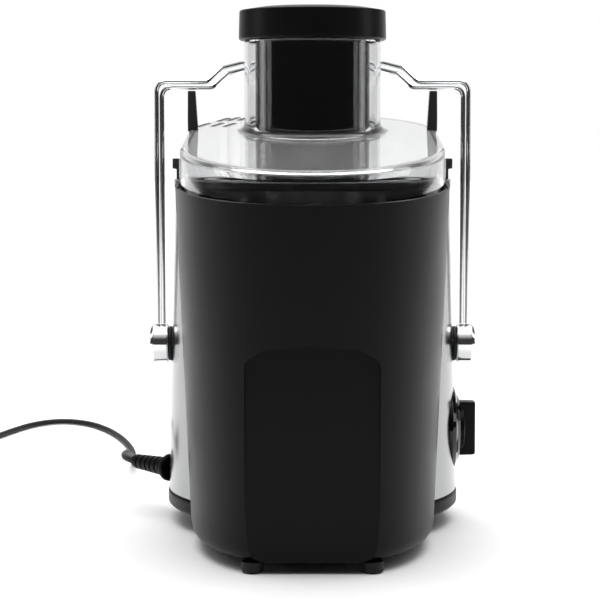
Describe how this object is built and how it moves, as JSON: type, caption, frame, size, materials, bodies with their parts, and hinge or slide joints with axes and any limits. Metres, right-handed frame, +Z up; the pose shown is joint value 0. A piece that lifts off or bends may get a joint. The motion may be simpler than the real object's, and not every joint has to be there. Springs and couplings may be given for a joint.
{
  "type": "centrifugal juicer",
  "caption": "Countertop centrifugal juicer: steel motor base, juice bowl with sieve, clear lid with feed chute and pusher, front pulp bin, wire locking bail and side dial.",
  "frame": {"origin": "middle of the footprint at table level, measured without the mains cord", "axes": "+Z up, +Y towards the juice spout, -Y towards the pulp bin, +X towards the speed dial"},
  "size_m": [0.4841, 0.6374, 0.366],
  "materials": {
    "steel": "satin",
    "chrome": "polished",
    "satin_black": "fine satin moulding",
    "gloss_black": "glossy",
    "smoke": "smooth dark grey",
    "clear": "clear moulded plastic",
    "rubber": "matt",
    "copper": "enamelled wire",
    "iron": "laminated steel",
    "carbon": "graphite",
    "nylon": "natural nylon",
    "brass": "stamped"
  },
  "bodies": {
    "base": {"base_ring": "satin_black", "bottom_plate": "satin_black", "base_foot_1": "rubber", "base_foot_2": "rubber", "base_foot_3": "rubber", "base_foot_4": "rubber", "steel_body": "steel", "motor_deck": "satin_black", "motor_stator": "iron", "winding_front": "copper", "winding_rear": "copper", "lower_bearing": "steel", "upper_bearing": "steel", "lower_bracket": "iron", "upper_bracket": "iron", "brush_front": "carbon", "brush_rear": "carbon", "shaft_seal": "rubber", "speed_switch": "satin_black", "dial_plate": "gloss_black", "juice_bowl": "smoke", "pivot_washer_left": "rubber", "pivot_pin_left": "steel", "pivot_washer_right": "rubber", "pivot_pin_right": "steel", "strain_relief": "satin_black", "power_cord": "rubber", "cord_coil": "rubber", "cord_tie": "rubber", "plug_body": "rubber", "plug_blade_1": "brass", "plug_blade_2": "brass"},
    "bail": {"bail_wire_outer": "chrome", "bail_wire_inner": "chrome", "pivot_barrel_left": "chrome", "pivot_barrel_right": "chrome"},
    "lid": {"lid": "clear"},
    "pusher": {"pusher_body": "gloss_black", "pusher_cap": "satin_black"},
    "rotor": {"rotor_core": "iron", "motor_shaft": "steel", "commutator": "copper", "cooling_fan": "nylon", "drive_coupling": "nylon", "grater_disc": "steel", "sieve_wall": "steel", "sieve_rim": "smoke"},
    "bin": {"pulp_bin": "satin_black", "bin_foot_1": "rubber", "bin_foot_2": "rubber", "bin_foot_3": "rubber", "bin_foot_4": "rubber"},
    "dial": {"dial_knob": "satin_black"}
  },
  "joints": [
    {"name": "bail_swing", "type": "hinge", "parent": "base", "child": "bail", "pos_m": [0, 0.035, 0.126], "axis": [-1, 0, 0], "range_deg": [0, 100]},
    {"name": "lid_lift", "type": "slide", "parent": "base", "child": "lid", "axis": [0, 0, 1], "range_m": [0, 0.05]},
    {"name": "pusher_lift", "type": "slide", "parent": "lid", "child": "pusher", "axis": [0, 0, 1], "range_m": [0, 0.13]},
    {"name": "basket_spin", "type": "hinge", "parent": "base", "child": "rotor", "pos_m": [0, 0.035, 0.2], "axis": [0, 0, 1], "continuous": true},
    {"name": "bin_slide", "type": "slide", "parent": "base", "child": "bin", "axis": [0, -1, 0], "range_m": [0, 0.15]},
    {"name": "dial_turn", "type": "hinge", "parent": "base", "child": "dial", "pos_m": [0.11, 0.035, 0.065], "axis": [1, 0, 0], "range_deg": [-45, 90]}
  ],
  "couplings": [
    {"joint": "lid_lift", "follows": "bail_swing", "m_per_rad": 0.0285}
  ]
}
